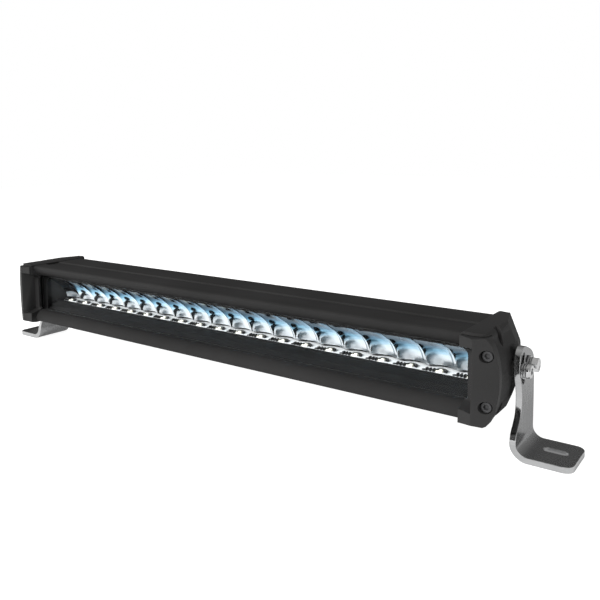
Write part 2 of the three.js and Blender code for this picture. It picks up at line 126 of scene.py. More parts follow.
def lathe(axis, p, q, profile, seg=48, name="tmp"):
    """profile: [(radius, place along the axis)], closed onto the axis at both ends."""
    verts, faces = [], []
    for r, w in profile:
        for k in range(seg):
            t = 2 * math.pi * k / seg
            verts.append(lift(axis, p + r * math.cos(t), q + r * math.sin(t), w))
    m = len(profile)
    for i in range(m - 1):
        for k in range(seg):
            k2 = (k + 1) % seg
            faces.append([i * seg + k, i * seg + k2, (i + 1) * seg + k2, (i + 1) * seg + k])
    faces.append([k for k in range(seg)][::-1])
    faces.append([(m - 1) * seg + k for k in range(seg)])
    return new_obj(name, verts, faces)


def rod(axis, r, p, q, a, b, seg=48, r2=None, name="tmp"):
    return lathe(axis, p, q, [(r, a), (r if r2 is None else r2, b)], seg, name)


def join_op(a, b, op):
    m = a.modifiers.new("b", "BOOLEAN")
    m.object = b
    m.operation = op
    m.solver = "MANIFOLD"
    dg = bpy.context.evaluated_depsgraph_get()
    me = bpy.data.meshes.new_from_object(a.evaluated_get(dg))
    a.modifiers.clear()
    old = a.data
    a.data = me
    bpy.data.meshes.remove(old)
    bd = b.data
    bpy.data.objects.remove(b)
    bpy.data.meshes.remove(bd)
    return a


def cut(a, *bs):
    for b in bs:
        join_op(a, b, "DIFFERENCE")
    return a


def fuse(a, *bs):
    for b in bs:
        join_op(a, b, "UNION")
    return a


def common(a, *bs):
    for b in bs:
        join_op(a, b, "INTERSECT")
    return a


def apply_all(ob):
    dg = bpy.context.evaluated_depsgraph_get()
    me = bpy.data.meshes.new_from_object(ob.evaluated_get(dg))
    ob.modifiers.clear()
    old = ob.data
    ob.data = me
    bpy.data.meshes.remove(old)


def dress(ob, name, width=0.35, segs=2, angle=28, smooth=38, weld=1e-6, flat=0.8, clamp=True):
    """Clean the mesh, round its edges by width mm and shade it smooth between sharp edges."""
    bm = bmesh.new()
    bm.from_mesh(ob.data)
    bmesh.ops.remove_doubles(bm, verts=bm.verts, dist=weld)
    bmesh.ops.dissolve_limit(bm, angle_limit=math.radians(flat), verts=bm.verts, edges=bm.edges)
    bm.to_mesh(ob.data)
    bm.free()
    if width:
        m = ob.modifiers.new("round", "BEVEL")
        m.width = width / 1000
        m.segments = segs
        m.limit_method = "ANGLE"
        m.angle_limit = math.radians(angle)
        m.use_clamp_overlap = clamp
        m.miter_outer = "MITER_ARC"
        apply_all(ob)
    me = ob.data
    me.shade_smooth()
    me.set_sharp_from_angle(angle=math.radians(smooth))
    w = ob.modifiers.new("n", "WEIGHTED_NORMAL")
    w.keep_sharp = True
    w.weight = 60
    apply_all(ob)
    ob.name = name
    ob.data.name = name
    return ob


def mirror_copy(ob, name):
    me = ob.data.copy()
    me.transform(Matrix.Scale(-1, 4, (1, 0, 0)))
    me.flip_normals()
    o = bpy.data.objects.new(name, me)
    bpy.context.scene.collection.objects.link(o)
    return o


def place(ob, body, slot, material, *nodes):
    ob.data.materials.clear()
    for m in material if isinstance(material, (list, tuple)) else [material]:
        ob.data.materials.append(m)
    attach(ob, body)
    if nodes:
        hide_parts(*nodes)
    return ob


# ---------------------------------------------------------------- materials
class Mat:
    """A node material: one Principled shader, with helpers that hang textures on it."""

    def __init__(self, name, base, rough, metal=0.0, spec=0.5, **kw):
        self.m = bpy.data.materials.new(name)
        self.m.use_nodes = True
        self.m.diffuse_color = (*base, 1)
        self.nt = self.m.node_tree
        self.b = self.nt.nodes["Principled BSDF"]
        self.b.inputs["Base Color"].default_value = (*base, 1)
        self.b.inputs["Roughness"].default_value = rough
        self.b.inputs["Metallic"].default_value = metal
        self.b.inputs["Specular IOR Level"].default_value = spec
        for k, v in kw.items():
            self.b.inputs[k.replace("_", " ")].default_value = v
        self.base, self.rough = base, rough
        self.coord = self.nt.nodes.new("ShaderNodeTexCoord")

    def node(self, kind, **kw):
        n = self.nt.nodes.new(kind)
        for k, v in kw.items():
            if k in n.inputs:
                n.inputs[k].default_value = v
            else:
                setattr(n, k, v)
        return n

    def link(self, a, b):
        self.nt.links.new(a, b)

    def noise(self, scale, detail=2.0, stretch=(1, 1, 1), rough=0.5):
        mp = self.nt.nodes.new("ShaderNodeMapping")
        mp.inputs["Scale"].default_value = stretch
        self.link(self.coord.outputs["Object"], mp.inputs["Vector"])
        n = self.nt.nodes.new("ShaderNodeTexNoise")
        n.inputs["Scale"].default_value = scale
        n.inputs["Detail"].default_value = detail
        n.inputs["Roughness"].default_value = rough
        self.link(mp.outputs["Vector"], n.inputs["Vector"])
        return n.outputs["Fac"]

    def spread(self, fac, lo, hi, a=0.3, b=0.7):
        r = self.nt.nodes.new("ShaderNodeMapRange")
        r.inputs["From Min"].default_value = a
        r.inputs["From Max"].default_value = b
        r.inputs["To Min"].default_value = lo
        r.inputs["To Max"].default_value = hi
        self.link(fac, r.inputs["Value"])
        return r.outputs["Result"]

    def colour(self, fac, lo, hi, a=0.35, b=0.65):
        r = self.nt.nodes.new("ShaderNodeValToRGB")
        r.color_ramp.elements[0].position = a
        r.color_ramp.elements[0].color = (*lo, 1)
        r.color_ramp.elements[1].position = b
        r.color_ramp.elements[1].color = (*hi, 1)
        self.link(fac, r.inputs["Fac"])
        return r.outputs["Color"]

    def bump(self, height, strength, dist):
        b = self.nt.nodes.new("ShaderNodeBump")
        b.inputs["Strength"].default_value = strength
        b.inputs["Distance"].default_value = dist
        self.link(height, b.inputs["Height"])
        prev = self.b.inputs["Normal"]
        if prev.is_linked:
            self.link(prev.links[0].from_socket, b.inputs["Normal"])
        self.link(b.outputs["Normal"], prev)
        return self

    def add(self, a, b):
        n = self.nt.nodes.new("ShaderNodeMath")
        n.operation = "ADD"
        self.link(a, n.inputs[0])
        self.link(b, n.inputs[1])
        return n.outputs[0]


def scaled(c, k):
    return tuple(min(1.0, v * k) for v in c)


def powder(name, base, rough, grain=0.00006, spec=0.4, scale=1400):
    """Powder coat: a fine orange-peel grain with slow drifts of tone and gloss."""
    m = Mat(name, base, rough, spec=spec)
    fine = m.noise(scale, 3, rough=0.6)
    slow = m.noise(14, 3)
    m.link(m.colour(m.add(m.spread(fine, 0.0, 0.35), m.spread(slow, 0.0, 0.65)), scaled(base, 0.78), scaled(base, 1.25), 0.2, 0.85), m.b.inputs["Base Color"])
    m.link(m.spread(m.add(m.spread(fine, 0, 0.5), m.spread(slow, 0, 0.5)), rough - 0.06, rough + 0.08, 0.2, 0.8), m.b.inputs["Roughness"])
    m.bump(fine, 0.5, grain)
    return m.m


def steel(name, base, rough, lines=0.00001, stretch=(1, 1, 0.03), scale=2600, aniso=0.0):
    """Stainless sheet: fine brush lines along one direction, faint clouding."""
    m = Mat(name, base, rough, metal=1.0, Anisotropic=aniso)
    brush = m.noise(scale, 3, stretch=stretch, rough=0.7)
    cloud = m.noise(40, 2)
    m.link(m.colour(m.add(m.spread(brush, 0, 0.6), m.spread(cloud, 0, 0.4)), scaled(base, 0.88), scaled(base, 1.08), 0.15, 0.85), m.b.inputs["Base Color"])
    m.link(m.spread(m.add(m.spread(brush, 0, 0.6), m.spread(cloud, 0, 0.4)), rough - 0.05, rough + 0.07, 0.2, 0.8), m.b.inputs["Roughness"])
    m.bump(brush, 0.35, lines)
    return m.m


BLACK = (0.0118, 0.0116, 0.0116)
M_HOUSING = powder("housing_powder", BLACK, 0.58, spec=0.28)
M_CAP = powder("cap_powder", (0.0145, 0.0142, 0.0142), 0.6, grain=0.00009, scale=1100, spec=0.3)
M_PLATE = powder("plate_powder", (0.0150, 0.0148, 0.0148), 0.5, spec=0.35)
M_BEZEL = powder("bezel_plastic", (0.0085, 0.0084, 0.0084), 0.42, grain=0.00003, scale=1800, spec=0.3)
M_RUBBER = powder("seal_rubber", (0.012, 0.012, 0.012), 0.8, grain=0.00004, scale=900)
M_NYLON = powder("gland_nylon", (0.016, 0.016, 0.017), 0.5, grain=0.00005, scale=1300)
M_VENT = powder("vent_plastic", (0.022, 0.022, 0.023), 0.6, grain=0.00005, scale=1300)
M_BLACK_STEEL = powder("screw_black_steel", (0.02, 0.02, 0.021), 0.3, grain=0.00002, scale=2200, spec=0.7)
M_DRIVER = powder("driver_mask", (0.02, 0.12, 0.05), 0.4, grain=0.00003, scale=900)
M_SATIN = steel("bracket_satin_steel", (0.38, 0.384, 0.388), 0.24, lines=0.000003)
M_BRIGHT = steel("bracket_bright_edge", (0.70, 0.705, 0.71), 0.12, lines=0.000002, stretch=(0.05, 1, 1), scale=1500)
M_BOLT = steel("bolt_bright_steel", (0.86, 0.865, 0.87), 0.11, lines=0.000001, stretch=(1, 1, 1), scale=700)
M_WASHER = steel("washer_steel", (0.66, 0.665, 0.67), 0.24, lines=0.000001, stretch=(0.1, 1, 1), scale=900)


def make_mirror():
    """Metallised dishes with painted reflection in the base colour: a painted pale reflection low down, painted slate
    shade towards the top of each dish, with painted streaks beside the ridges.
    """
    m = Mat("reflector_metallised", (0.78, 0.885, 0.96), 0.055, metal=1.0)
    nt = m.nt

    def maths(op, a, b=None, c=None):
        n = nt.nodes.new("ShaderNodeMath")
        n.operation = op
        for i, v in enumerate((a, b, c)):
            if v is None:
                continue
            if isinstance(v, (int, float)):
                n.inputs[i].default_value = v
            else:
                nt.links.new(v, n.inputs[i])
        return n.outputs[0]

    def soft(v, a, b):
        n = nt.nodes.new("ShaderNodeMapRange")
        n.interpolation_type = "SMOOTHSTEP"
        n.inputs["From Min"].default_value = a
        n.inputs["From Max"].default_value = b
        nt.links.new(v, n.inputs["Value"])
        return n.outputs["Result"]

    ripple = m.noise(120, 2)
    fine = m.noise(900, 2)
    sep = nt.nodes.new("ShaderNodeSeparateXYZ")
    m.link(m.coord.outputs["Object"], sep.inputs["Vector"])
    u = maths("FRACT", maths("DIVIDE", maths("ADD", sep.outputs["X"], 0.240), 0.024))
    v = maths("DIVIDE", maths("SUBTRACT", sep.outputs["Z"], 0.0487), 0.0291)
    painted_shade_rise = maths("MULTIPLY", v, 1.45)
    wob = maths("MULTIPLY", maths("SUBTRACT", ripple, 0.5), 0.10)
    w = maths("ADD", maths("SUBTRACT", 1.0, painted_shade_rise), maths("ADD", maths("MULTIPLY", u, 0.22), wob))
    # painted reflection: the base colour runs from slate shade at the top of each dish to a pale reflection low down
    tone = nt.nodes.new("ShaderNodeValToRGB")
    cr = tone.color_ramp
    cr.interpolation = "EASE"
    cr.elements[0].position, cr.elements[0].color = 0.10, (0.035, 0.075, 0.11, 1)
    cr.elements[1].position, cr.elements[1].color = 0.92, (0.97, 0.985, 1.0, 1)
    for p_, c_ in ((0.28, (0.085, 0.19, 0.28)), (0.42, (0.23, 0.46, 0.62)), (0.56, (0.52, 0.77, 0.93)), (0.70, (0.86, 0.95, 1.0))):
        e = cr.elements.new(p_)
        e.color = (*c_, 1)
    m.link(w, tone.inputs["Fac"])
    # painted highlight: a pale band on each ridge; painted reflection: a thin dark streak beside its lower half
    ridge = maths("MULTIPLY", soft(u, 0.93, 0.985), soft(v, 0.02, 0.15))
    painted_dark_streak = maths("MULTIPLY", maths("MULTIPLY", soft(u, 0.80, 0.85), maths("SUBTRACT", 1.0, soft(u, 0.87, 0.91))), maths("MULTIPLY", soft(v, 0.03, 0.12), maths("SUBTRACT", 1.0, soft(v, 0.45, 0.62))))
    painted_highlight_mix = nt.nodes.new("ShaderNodeMix")
    painted_highlight_mix.data_type = "RGBA"
    ca = [i for i in painted_highlight_mix.inputs if i.name == "A" and i.type == "RGBA"][0]
    cb = [i for i in painted_highlight_mix.inputs if i.name == "B" and i.type == "RGBA"][0]
    # colour of the painted highlight on the ridges
    cb.default_value = (0.93, 0.965, 0.99, 1)
    m.link(maths("MULTIPLY", ridge, 0.85), painted_highlight_mix.inputs["Factor"])
    m.link(tone.outputs["Color"], ca)
    painted_streak_mix = nt.nodes.new("ShaderNodeMix")
    painted_streak_mix.data_type = "RGBA"
    ca2 = [i for i in painted_streak_mix.inputs if i.name == "A" and i.type == "RGBA"][0]
    cb2 = [i for i in painted_streak_mix.inputs if i.name == "B" and i.type == "RGBA"][0]
    # colour of the painted dark reflection streak
    cb2.default_value = (0.07, 0.13, 0.18, 1)
    m.link(maths("MULTIPLY", painted_dark_streak, 0.8), painted_streak_mix.inputs["Factor"])
    m.link([o for o in painted_highlight_mix.outputs if o.type == "RGBA"][0], ca2)
    m.link([o for o in painted_streak_mix.outputs if o.type == "RGBA"][0], m.b.inputs["Base Color"])
    m.link(m.spread(fine, 0.04, 0.075), m.b.inputs["Roughness"])
    m.bump(ripple, 0.12, 0.00012)
    return m.m


def make_lens():
    """Clear polycarbonate: see-through with a mirror-like skin, and it lets the lamps shine in."""
    m = bpy.data.materials.new("lens_clear")
    m.use_nodes = True
    m.diffuse_color = (0.9, 0.93, 0.95, 0.2)
    nt = m.node_tree
    nt.nodes.clear()
    out = nt.nodes.new("ShaderNodeOutputMaterial")
    mix = nt.nodes.new("ShaderNodeMixShader")
    clear = nt.nodes.new("ShaderNodeBsdfTransparent")
    clear.inputs["Color"].default_value = (0.985, 0.992, 0.995, 1)
    gloss = nt.nodes.new("ShaderNodeBsdfPrincipled")
    gloss.inputs["Base Color"].default_value = (0.9, 0.93, 0.95, 1)
    gloss.inputs["Metallic"].default_value = 1.0
    gloss.inputs["Roughness"].default_value = 0.03
    fr = nt.nodes.new("ShaderNodeFresnel")
    fr.inputs["IOR"].default_value = 1.2
    tc = nt.nodes.new("ShaderNodeTexCoord")
    ns = nt.nodes.new("ShaderNodeTexNoise")
    ns.inputs["Scale"].default_value = 25
    bp = nt.nodes.new("ShaderNodeBump")
    bp.inputs["Strength"].default_value = 0.05
    bp.inputs["Distance"].default_value = 0.0001
    nt.links.new(tc.outputs["Object"], ns.inputs["Vector"])
    nt.links.new(ns.outputs["Fac"], bp.inputs["Height"])
    nt.links.new(bp.outputs["Normal"], gloss.inputs["Normal"])
    geo = nt.nodes.new("ShaderNodeNewGeometry")
    outside = nt.nodes.new("ShaderNodeMath")
    outside.operation = "SUBTRACT"
    outside.inputs[0].default_value = 1.0
    nt.links.new(geo.outputs["Backfacing"], outside.inputs[1])
    front_only = nt.nodes.new("ShaderNodeMath")
    front_only.operation = "MULTIPLY"
    nt.links.new(fr.outputs["Fac"], front_only.inputs[0])
    nt.links.new(outside.outputs[0], front_only.inputs[1])
    nt.links.new(front_only.outputs[0], mix.inputs["Fac"])
    nt.links.new(clear.outputs["BSDF"], mix.inputs[1])
    nt.links.new(gloss.outputs["BSDF"], mix.inputs[2])
    nt.links.new(mix.outputs["Shader"], out.inputs["Surface"])
    return m


def make_board():
    m = Mat("board_white_mask", (0.86, 0.88, 0.88), 0.35, spec=0.5)
    n = m.noise(300, 2)
    m.link(m.colour(n, (0.82, 0.84, 0.85), (0.90, 0.91, 0.91)), m.b.inputs["Base Color"])
    m.bump(n, 0.2, 0.00003)
    return m.m


def make_led():
    m = Mat("led_phosphor", (0.95, 0.93, 0.80), 0.3, spec=0.5)
    n = m.noise(1500, 2)
    m.link(m.colour(n, (0.93, 0.90, 0.72), (0.97, 0.96, 0.86)), m.b.inputs["Base Color"])
    m.bump(n, 0.2, 0.00002)
    return m.m


M_MIRROR, M_LENS, M_BOARD, M_LED = make_mirror(), make_lens(), make_board(), make_led()

CAD_LOOKS = {
    "housing": M_HOUSING, "front_lens": M_LENS, "lens_seal": M_RUBBER, "inner_bezel": M_BEZEL, "led_board": M_BOARD,
    "driver_board": M_DRIVER, "gland_body": M_NYLON, "gland_nut": M_NYLON, "vent_plug": M_VENT,
}
for n, o in NODES.items():
    mat = CAD_LOOKS.get(n)
    if n.startswith("led_") and n != "led_board":
        mat = M_LED
    elif n.startswith("reflector"):
        mat = M_MIRROR
    elif n.startswith("end_plate"):
        mat = M_PLATE
    elif n.startswith("end_cap"):
        mat = M_CAP
    elif n.startswith("plate_screw"):
        mat = M_BLACK_STEEL
    elif n.startswith("bracket"):
        mat = M_SATIN
    elif "washer" in n:
        mat = M_WASHER
    elif "bolt" in n:
        mat = M_BOLT
    o.data.materials.clear()
    o.data.materials.append(mat)

# ---------------------------------------------------------------- housing
LIP_IN = [(10, 18.8), (7.4, 19.2), (5.1, 20.2), (3.0, 21.8), (1.3, 23.8), (0.35, 25.8), (0, 27.6)]
LIP_OUT = [(0.3, 28.8), (1.2, 29.6), (2.6, 30.0)]
HALF_H, DEPTH, BODY_X = 30.0, 65.0, 236.0


def housing():
    lip = spline(LIP_IN + LIP_OUT, 5)
    top = lip + [(14.9, 30.0), (15.3, 29.85), (15.9, 28.95), (16.4, 28.7), (31.9, 28.7), (32.4, 28.95), (33.0, 29.85), (33.4, 30.0), (61.3, 30.0)] + arc(61.3, 27.7, 2.3, 80, 20, 5)
    fins = []
    rows = [25.6, 17.1, 8.55, 0, -8.55, -17.1, -25.6]
    for i, z in enumerate(rows):
        if i > 0:
            fins += [(58.9, z + 2.6), (58.5, z + 2.1), (64.2, z + 1.15)]
        fins += arc(64.3, z, 0.7, 90, -90, 4) if 0 < i < 6 else ([(65, z + 1.2), (65, z - 0.9), (64.4, z - 1.1)] if i == 0 else [(64.4, z + 1.1), (65, z + 0.9), (65, z - 1.2)])
        if i < 6:
            fins += [(58.9, z - 2.0), (58.5, z - 2.5)]
    fins2 = []
    for i, z in enumerate(rows):
        if i == 0:
            fins2 += [(65, z + 1.4), (65, z - 0.7), (64.6, z - 1.1), (58.8, z - 2.0), (58.5, z - 2.4)]
        elif i == 6:
            fins2 += [(58.5, z + 2.4), (58.8, z + 2.0), (64.6, z + 1.1), (65, z + 0.7), (65, z - 1.4)]
        else:
            fins2 += [(58.5, z + 2.4), (58.8, z + 2.0), (64.3, z + 1.05), (64.85, z + 0.7), (65, z), (64.85, z - 0.7), (64.3, z - 1.05), (58.8, z - 2.0), (58.5, z - 2.4)]
    down = [(y, -z) for y, z in reversed(top)]
    inner = [(10, -21.5), (17.4, -21.5), (17.4, -26.4), (55.6, -26.4), (55.6, -19.4), (34.2, -19.4), (34.2, -16.1), (55.6, -16.1),
             (55.6, 26.4), (17.4, 26.4), (17.4, 21.5), (10, 21.5)]
    s = prism("X", top + fins2 + down + inner, -BODY_X, BODY_X)
    for x, r, flat in ((-150, 6.3, 12), (150, 4.3, 8.5)):
        cut(s, block(x - flat, x + flat, 59, 70, -flat, flat), rod("Y", r, x, 0, 50, 70, 48))
    dress(s, "housing_shell", width=0.12, segs=1, angle=60, smooth=24)
    place(s, "bar", "housing", M_HOUSING, "housing")


housing()

# ---------------------------------------------------------------- reflectors: half-paraboloid mirrors, ridge to ridge
FOCAL4, VERTEX_Y, AXIS_Z, REFL_LOW, PITCH_X, ROW = 29.7, 49.7, -13.8, -11.5, 24.0, 240.0


def reflector(index):
    x0 = -ROW + index * 5 * PITCH_X
    nx, nz = 40, 56
    front, z1 = 17.2, 17.6
    verts, faces = [], []
    cols = []
    for c in range(5):
        for i in range(nx + (1 if c == 4 else 0)):
            t = i / nx
            cols.append((x0 + (c + t) * PITCH_X, (t - 0.5) * PITCH_X))
    cols[0] = (cols[0][0] + 0.15, cols[0][1] + 0.15)
    cols[-1] = (cols[-1][0] - 0.15, cols[-1][1] - 0.15)
    n = len(cols)
    thick = 1.4
    for side in (0, 1):
        for x, d in cols:
            for k in range(nz + 1):
                z = REFL_LOW + (z1 - REFL_LOW) * (k / nz) ** 0.85
                y = VERTEX_Y - (d * d + (z - AXIS_Z) ** 2) / FOCAL4
                y = max(front, y)
                if side:
                    y += thick
                verts.append((x, y, z))
    m = nz + 1
    off = n * m
    for i in range(n - 1):
        for k in range(nz):
            a = i * m + k
            faces.append([a, a + m, a + m + 1, a + 1])
            b = off + a
            faces.append([b, b + 1, b + m + 1, b + m])
    for i in range(n - 1):
        a, b = i * m, off + i * m
        faces.append([a, b, b + m, a + m])
        a, b = i * m + nz, off + i * m + nz
        faces.append([a, a + m, b + m, b])
    for k in range(nz):
        a, b = k, off + k
        faces.append([a, a + 1, b + 1, b])
        a, b = (n - 1) * m + k, off + (n - 1) * m + k
        faces.append([a, b, b + 1, a + 1])
    ob = new_obj("mirror_row_%d" % (index + 1), verts, faces)
    ob.data.shade_smooth()
    ob.data.set_sharp_from_angle(angle=math.radians(20))
    place(ob, "bar", "reflector", M_MIRROR, "reflector_%d" % (index + 1))


for i in range(4):
    reflector(i)

# ---------------------------------------------------------------- end plates, end caps and their screws
def revolve(axis, p, q, loop, seg=56, name="tmp"):
    """A ring: the closed loop [(radius, place along the axis)] swept all the way round."""
    verts = [lift(axis, p + r * math.cos(2 * math.pi * k / seg), q + r * math.sin(2 * math.pi * k / seg), w) for r, w in loop for k in range(seg)]
    m = len(loop)
    faces = [[i * seg + k, i * seg + (k + 1) % seg, ((i + 1) % m) * seg + (k + 1) % seg, ((i + 1) % m) * seg + k] for i in range(m) for k in range(seg)]
    return new_obj(name, verts, faces)


def hexagon(p, q, r, turn):
    return [(p + r * math.cos(math.radians(turn + 60 * k)), q + r * math.sin(math.radians(turn + 60 * k))) for k in range(6)]


SIDE = [(254.0, 29.4), (257.0, 24.6), (259.4, 18.6), (261.1, 11.4), (261.9, 3.8), (261.8, -5.4), (260.8, -14.0), (259.0, -21.6), (255.4, -29.2)]
CAP_X0, F, RIDGE_X, RIDGE_Y = 236.3, -3.3, 246.0, -8.5
PIVOT_Y, PIVOT_Z, LOCK_R, LOCK_A, SWING = 46.5, 2.2, 12.8, 186.0, 38.0
LOCK_Y = PIVOT_Y + LOCK_R * math.cos(math.radians(LOCK_A))
LOCK_Z = PIVOT_Z + LOCK_R * math.sin(math.radians(LOCK_A))


def end_plate():
    outline = [(CAP_X0, 29.4), (253.2, 29.4)] + spline([(254.0, 29.0)] + SIDE[1:-1] + [(255.6, -28.6)], 5) + [(254.9, -29.6), (252.4, -30.8), (251, -31.2), (CAP_X0, -31.6)]
    plan = [(CAP_X0 - 1, -4.7), (239.3, -5.7), (243.6, -7.3), (245.1, -8.05), (245.8, -8.4), (246.5, -8.3), (247.6, -7.65), (262.9, 0.5),
            (262.9, 4.5), (255, 4.5), (249, 9.7), (CAP_X0 - 1, 9.7)]
    s = common(prism("Y", outline, RIDGE_Y - 2, 9.7), prism("Z", plan, -40, 40))
    recess = [(RIDGE_Y - 4, 24.1), (RIDGE_Y, 22.7), (-3.5, 21.5), (1, 20.2), (5, 18.6), (7, 17.5), (7, -18.2), (5, -18.9), (1, -20.0), (-3.5, -20.8), (RIDGE_Y, -21.5), (RIDGE_Y - 4, -22.3)]
    inward = [(235, -14), (RIDGE_X + 0.6, -14), (RIDGE_X, RIDGE_Y + 0.2), (RIDGE_X - 0.9, 8), (235, 8)]
    cut(s, common(prism("X", recess, 235, 270), prism("Z", inward, -40, 40)))
    cut(s, prism("Y", round_rect(230, 238.6, -17.4, 16.9, 2), 5, 12))
    cut(s, prism("X", [(RIDGE_Y - 4, -28.2), (RIDGE_Y, -29.3), (-6, -30.1), (-4, -30.7), (0, -31.4), (1.5, -32.5), (RIDGE_Y - 4, -34)], 230, 270))
    cut(s, prism("X", [(RIDGE_Y - 4, 27.4), (RIDGE_Y, 28.6), (-5, 29.2), (-3, 29.5), (RIDGE_Y - 4, 34)], 230, 270))
    for z in (17.4, -16.9):
        cut(s, lathe("Y", 254.3, z, [(4.15, RIDGE_Y - 1), (4.15, 1.2), (3.9, 1.6)], 48))
        cut(s, rod("Y", 2.3, 254.3, z, 0, 12, 24))
    dress(s, "face_plate_right", width=0.3, segs=2, angle=26, smooth=34, weld=8e-5, flat=1.5)
    place(s, "bar", "end_plate", M_PLATE, "end_plate_right")
    place(mirror_copy(s, "face_plate_left"), "bar", "end_plate", M_PLATE, "end_plate_left")


def half_space(p, q, r):
    """A thick slab on the outer side of the plane through three points."""
    p, q, r = Vector(p), Vector(q), Vector(r)
    n = (q - p).cross(r - p).normalized()
    if n.x < 0:
        n = -n
    side = (q - p).normalized()
    other = n.cross(side)
    vs = [p + side * a + other * b + n * c for c in (0, 30) for a, b in ((-40, -40), (40, -40), (40, 40), (-40, 40))]
    return new_obj("tmp", [tuple(v) for v in vs], [[0, 1, 2, 3], [4, 5, 6, 7], [0, 1, 5, 4], [1, 2, 6, 5], [2, 3, 7, 6], [3, 0, 4, 7]])


def end_cap():
    inset = spline([(254.2, 28.6)] + [(x - 2.2, z) for x, z in SIDE[1:-1]] + [(254.2, -28.8)], 5)
    body = [(CAP_X0, 30.3), (CAP_X0 + 0.8, 30.9), (CAP_X0 + 2.4, 31.7), (250, 31.7), (251.4, 31.6), (252.5, 31.1), (253.4, 30.2)] + inset + \
           [(253.2, -30.2), (252.2, -31.2), (251, -31.7), (CAP_X0 + 2.4, -31.7), (CAP_X0, -30.3)]
    ty, rear = 44.0, 68.5
    n = len(body)
    rings = [(F - 0.6, body), (ty, body)]
    steps = 5
    for k in range(1, steps + 1):
        t = k / steps
        e = t * t * (3 - 2 * t) if k < steps else 1.0
        ring = []
        for x, z in body:
            if x > 249:
                h = z / 30.0
                ring.append((x - e * (2.2 + 3 * (1 - min(1, h * h))), z * (1 - 0.015 * e)))
            else:
                ring.append((x, z))
        rings.append((ty + (rear - ty) * t, ring))
    verts = [(x, y, z) for y, ring in rings for x, z in ring]
    faces = [list(range(n)), list(range((len(rings) - 1) * n, len(rings) * n))[::-1]]
    for i in range(len(rings) - 1):
        faces += [[i * n + k, i * n + (k + 1) % n, (i + 1) * n + (k + 1) % n, (i + 1) * n + k] for k in range(n)]
    s = new_obj("tmp", verts, faces)
    cut(s, prism("Z", [(230, -9), (270, -9), (270, 4.8), (255.2, 4.8), (249.2, 10), (230, 10)], -40, 29.7))
    visor = [(CAP_X0 - 1, F + 1.4), (239.5, F + 0.3), (243, F - 0.15), (246.5, F - 0.2), (249, F + 0.3), (251, F + 1.2), (252.5, F + 2.7), (253.6, F + 4.6), (254.8, 4.6), (262.9, 4.6),
             (262.9, 68), (CAP_X0 - 1, 68)]
    common(s, prism("Z", visor, -40, 40))
    cut(s, prism("Y", [(CAP_X0 - 2, -21.5), (243.6, -21.5), (243.6, 21.5), (CAP_X0 - 2, 21.5)], 0, 57))
    for m in (1, -1):
        cut(s, half_space((254, 41, m * 28.9), (256.6, 57.5, m * 12.6), (249, 68.5, m * 24)))
    cut(s, block(257.2, 270, 31.5, 70, -24, 16.5))
    for m in (1, -1):
        pts = [(y, m * z) for y, z in [(16.4, 40), (16.4, 26), (17.1, 22.8), (18.2, 20.6), (20.2, 19.2), (22.2, 20.6), (23.3, 22.8), (24.0, 26), (24.0, 40)]]
        slope = [(249.5, m * 45), (251, m * 29), (252.5, m * 24.5), (254.8, m * 19.5), (270, m * 18), (270, m * 45)]
        cut(s, common(prism("X", pts, 245, 270), prism("Y", slope, 10.5, 30)))
    fuse(s, rod("X", 8.5, PIVOT_Y, PIVOT_Z, 252, 261.6, 48), rod("X", 5.2, LOCK_Y, LOCK_Z, 252, 261.6, 40))
    cut(s, rod("X", 3.3, PIVOT_Y, PIVOT_Z, 247, 270, 32), rod("X", 3.3, LOCK_Y, LOCK_Z, 247, 270, 32))
    for z in (17.4, -16.9):
        cut(s, rod("Y", 2.3, 254.3, z, 4, 15.6, 24))
    dress(s, "cast_cap_right", width=0.3, segs=2, angle=24, smooth=34, weld=8e-5)
    place(s, "bar", "end_cap", M_CAP, "end_cap_right")
    place(mirror_copy(s, "cast_cap_left"), "bar", "end_cap", M_CAP, "end_cap_left")


end_plate()
end_cap()

for tag, z in (("upper", 17.4), ("lower", -16.9)):
    s = lathe("Y", 254.3, z, [(3.1, -2.6), (3.45, -2.5), (3.65, -2.25), (3.7, -1.9), (3.7, 1.15), (3.6, 1.3), (1.95, 1.3), (1.95, 14.2), (1.5, 14.6)], 56)
    cut(s, prism("Y", hexagon(254.3, z, 1.9, 8), -6, -0.6), lathe("Y", 254.3, z, [(2.3, -2.9), (1.7, -2.3)], 40))
    dress(s, "socket_screw_right_" + tag, width=0.08, segs=2, angle=40, smooth=30, weld=1e-5, clamp=False)
    place(s, "bar", "black_screw", M_BLACK_STEEL, "plate_screw_right_" + tag)
    place(mirror_copy(s, "socket_screw_left_" + tag), "bar", "black_screw", M_BLACK_STEEL, "plate_screw_left_" + tag)

# ---------------------------------------------------------------- brackets
BR_X0, BR_T, FOOT_X, FOOT_LOW, FOOT_Y0, FOOT_Y1 = 261.9, 4.4, 302.8, -60.2, 23.2, 63.6


